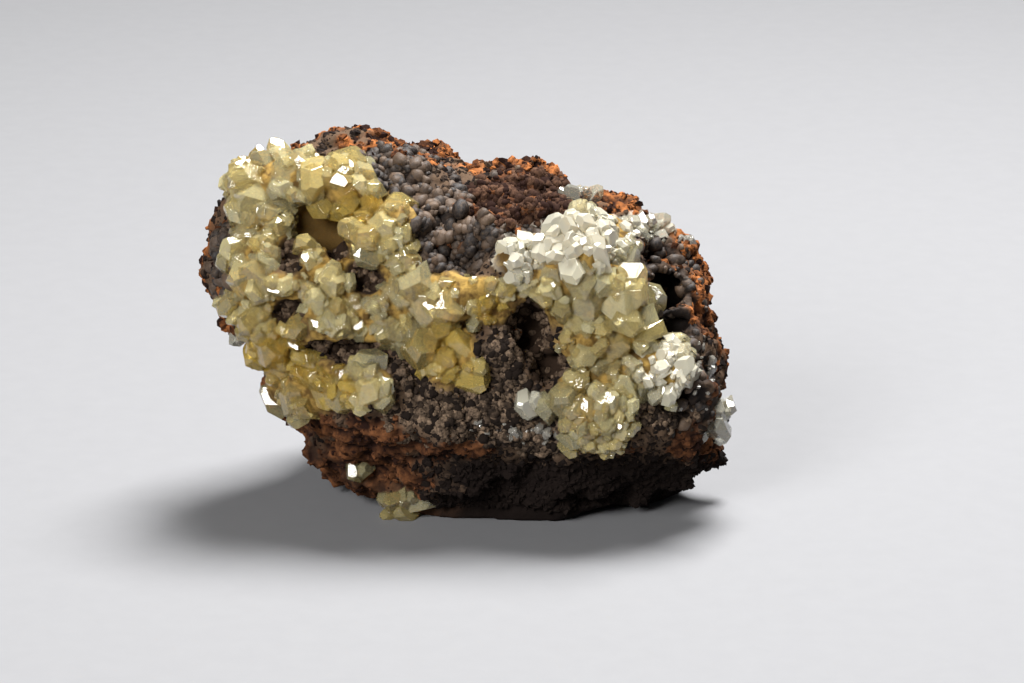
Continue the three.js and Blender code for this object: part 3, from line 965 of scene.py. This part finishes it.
def make_crust(ground, forms, generator):
    """The crust of crystals: clear, cloudy and frosted ones, each kind grown together in one skin."""
    clear = Intergrown()
    cloudy_ones = Intergrown()
    frosted = Intergrown()

    def by_kind(place):
        if whiteness(place.x, place.y) > in_range(FROST_START, generator.random()):
            return frosted
        return clear if generator.random() < CLEAR_SHARE else cloudy_ones

    wide_bare = widened(BARE_SPOTS, BARE_MARGIN)
    add_large_crystals(by_kind, ground.tree, CRUST_PATCHES, ROOT_SPACING, wide_bare + RECESSES)
    add_leading_crystals(by_kind, ground.tree)
    kept_open = patch_mask(ground.points, widened(BARE_SPOTS, OPEN_MARGIN) + RECESSES, 0)
    beside_bare = patch_mask(ground.points, widened(wide_bare, BARE_MARGIN), 0)
    fine = patch_mask(ground.points, FINE_PATCHES, 0)
    weights = ground.zones["crust"] ** 2 * (1 - kept_open) * (SMALL_BASE_WEIGHT + fine + beside_bare)
    scatter_on(ground, by_kind, forms, weights, SMALL_CRYSTALS, SMALL_SIZE, SMALL_TILT, generator,
               crystal_values)
    clear_look = adamite_look("adamite", ADAMITE_CLEARNESS)
    cloudy_look = adamite_look("cloudy_adamite", CLOUDY_CLEARNESS)
    dress(clear.piece("adamite_crystals"), clear_look, "adamite", "adamite_crust")
    dress(cloudy_ones.piece("cloudy_crystals"), cloudy_look, "adamite")
    dress(frosted.piece("frosted_crystals"), frosted_look(), "pale_crystal")


def make_clusters(ground):
    """The small clusters that stand apart from the crust."""
    honey_coloured = adamite_look("cluster_adamite", ADAMITE_CLEARNESS)
    bright = bright_look()
    pale = pale_look()
    for node, (middle, half, size, turn) in SMALL_CLUSTERS.items():
        cluster = Intergrown()
        spacing = CLUSTER_SPACING * size
        patches = [(middle, half)]
        add_large_crystals(lambda place: cluster, ground.tree, patches, spacing, (), middle, size, turn)
        if node in PALE_CLUSTERS:
            dress(cluster.piece(node + "_cut"), pale, "pale_crystal", node)
        else:
            look = bright if node == "stray_crystal" else honey_coloured
            dress(cluster.piece(node + "_cut"), look, "adamite", node)


def make_grains(ground, generator):
    """Knobs and crumbs of the bare rock, each kind one mesh."""
    knobs = nodule_forms()
    crumbs = crumb_forms()
    zones = ground.zones
    bare_rock = 1 - zones["crust"]

    def grow(name, forms, weights, look):
        count, sizes = GRAINS[name]
        grains = Gathered()
        scatter_on(
            ground, lambda place: grains, forms, weights * bare_rock, count, sizes, GRAIN_TILT, generator,
            lambda spot: {},
        )
        dress(grains.piece(name, smooth=forms is knobs), look, "limonite")

    def grow_crumbly(name, forms, weights, dark, bright):
        grow(name, forms, weights, crumb_look(name, dark, bright))

    left_of_pits = 1 - PITTED_THINNING * smooth_step(ground.points[:, 0], *PITTED_SIDE)
    lit_rust = zones["rust"] * (1 - zones["shade"])
    grow("goethite_knobs", knobs, zones["goethite"] * left_of_pits, nodule_look())
    grow_crumbly("hollow_knobs", knobs, zones["hollow"], HOLLOW_BROWN, GREY_LIGHT)
    grow_crumbly("grey_grains", knobs, zones["grey"], GREY_DARK, GREY_LIGHT)
    grow_crumbly("rust_crumbs", crumbs, lit_rust * zones["rim"], RUST_DARK, RUST_BRIGHT)
    grow_crumbly("brown_crumbs", crumbs, lit_rust * (1 - zones["rim"]), RUST_DARK, RUST_BROWN)
    grow_crumbly("mass_grains", knobs, zones["brown"], RUST_DARK, MASS_BROWN)
    # Near black crumbs on the underside lip: painted shade
    grow_crumbly("painted_shade_crumbs", crumbs, zones["shade"], UNDERSIDE_PAINTED_SHADE, GREY_DARK)
    grow_crumbly("plain_crumbs", crumbs, zones["plain"], GOETHITE_BLACK, GOETHITE_BROWN)


def make_specks(ground, forms, generator):
    """Small smoky crystals strewn along the lower lip and the right side."""
    specks = Gathered()
    facing = ground.points[:, 2] > 0
    weights = patch_mask(ground.points, SPECK_PATCHES, 0) * facing * (1 - ground.zones["crust"])
    scatter_on(ground, lambda place: specks, forms, weights, SPECKS, SPECK_SIZE, SPECK_TILT, generator,
               crystal_values)
    dress(specks.piece("smoky_specks"), smoky_look(), "pale_crystal")


def make_specimen():
    generator = np.random.default_rng(SCATTER_SEED)
    forms = small_forms()
    ground = make_rock()
    make_crust(ground, forms, generator)
    make_clusters(ground)
    make_grains(ground, generator)
    make_specks(ground, forms, generator)


# Floor, light and camera: the lights' places and sizes in metres, and their power in watts

FLOOR_SIZE = 4.0
LIGHTS = {
    "overhead": ((0.06, 0.08, 0.30), 0.14, 3.5),
    "front_fill": ((-0.19, -0.30, 0.22), 0.16, 2.2),
}
SKY_WHITE = colour(1.0, 1.0, 1.0)
SKY_STRENGTH = 0.07


def make_floor():
    bpy.ops.mesh.primitive_plane_add(size=FLOOR_SIZE)
    floor = bpy.context.object
    floor.name = "floor"
    floor.data.materials.append(floor_look())


def add_light(name, place, size, power):
    light = bpy.data.lights.new(name, "AREA")
    light.size = size
    light.energy = power
    lamp = bpy.data.objects.new(name, light)
    lamp.location = place
    target = Vector((0, 0, BASE_DEPTH * MM))
    lamp.rotation_euler = (target - Vector(place)).to_track_quat("-Z", "Y").to_euler()
    bpy.context.scene.collection.objects.link(lamp)


def make_light():
    for name, (place, size, power) in LIGHTS.items():
        add_light(name, place, size, power)
    world = bpy.data.worlds.new("studio")
    world.use_nodes = True
    sky = world.node_tree.nodes["Background"]
    sky.inputs["Color"].default_value = SKY_WHITE
    sky.inputs["Strength"].default_value = SKY_STRENGTH
    bpy.context.scene.world = world


def make_camera():
    camera = bpy.data.cameras.new("camera")
    camera.sensor_width = SENSOR_WIDTH
    camera.lens = SENSOR_WIDTH * VIEW_DISTANCE / VIEW_WIDTH
    camera.clip_start = NEAREST_SEEN
    viewer = bpy.data.objects.new("camera", camera)
    place = FACE @ Vector((*VIEW_MIDDLE, FACE_DEPTH + VIEW_DISTANCE))
    viewer.matrix_world = Matrix.Translation(place) @ FACE_TURN
    bpy.context.scene.collection.objects.link(viewer)
    bpy.context.scene.camera = viewer


bpy.context.scene.view_settings.view_transform = "Standard"
make_specimen()
make_floor()
make_light()
make_camera()
